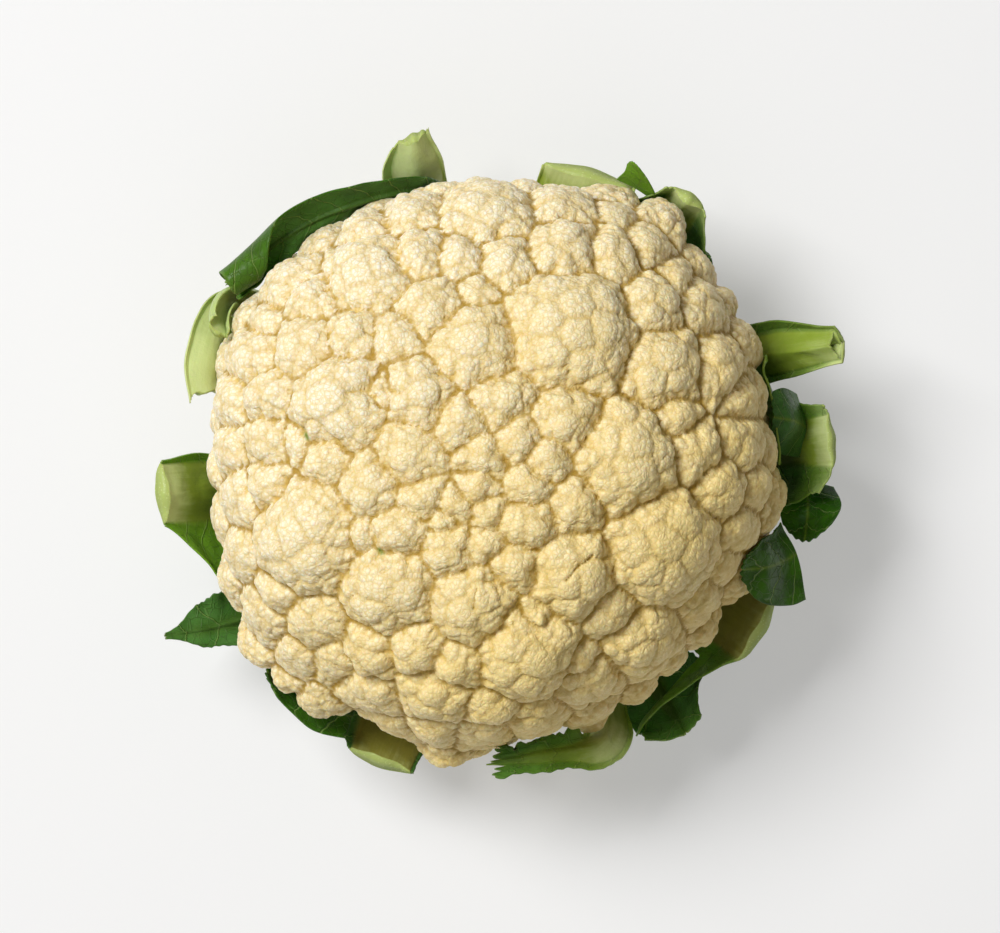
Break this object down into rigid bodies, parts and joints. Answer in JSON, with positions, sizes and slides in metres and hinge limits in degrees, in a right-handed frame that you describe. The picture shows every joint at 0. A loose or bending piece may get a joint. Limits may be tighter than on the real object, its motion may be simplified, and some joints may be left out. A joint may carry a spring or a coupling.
{
  "type": "cauliflower",
  "caption": "Trimmed cauliflower head: a domed ivory curd of packed florets on a short cut stalk, ringed by cut-back green leaves and pale leaf stalks.",
  "frame": {"origin": "centre of the cut stalk's flat face, which the head rests on", "axes": "+Z up along the growth axis; seen from above, +X points right and +Y points up in the picture"},
  "size_m": [0.2078, 0.1979, 0.124],
  "materials": {
    "curd": "matte",
    "stalk": "matte",
    "leaf": "satin",
    "petiole": "satin"
  },
  "bodies": {
    "root": {"curd": "curd", "stalk": "stalk", "leaf_north_stub": "leaf", "leaf_northwest_blade": "leaf", "leaf_west_slab": "leaf", "leaf_west_curl": "leaf", "leaf_west_petiole": "petiole", "leaf_southwest_blade": "leaf", "leaf_south_petiole": "petiole", "leaf_south_blade": "leaf", "leaf_southeast_blade": "leaf", "leaf_southeast_petiole": "petiole", "leaf_east_blade": "leaf", "leaf_east_inner": "leaf", "leaf_east_petiole": "petiole", "leaf_northeast_petiole": "petiole", "leaf_north_petiole": "petiole"}
  },
  "joints": []
}
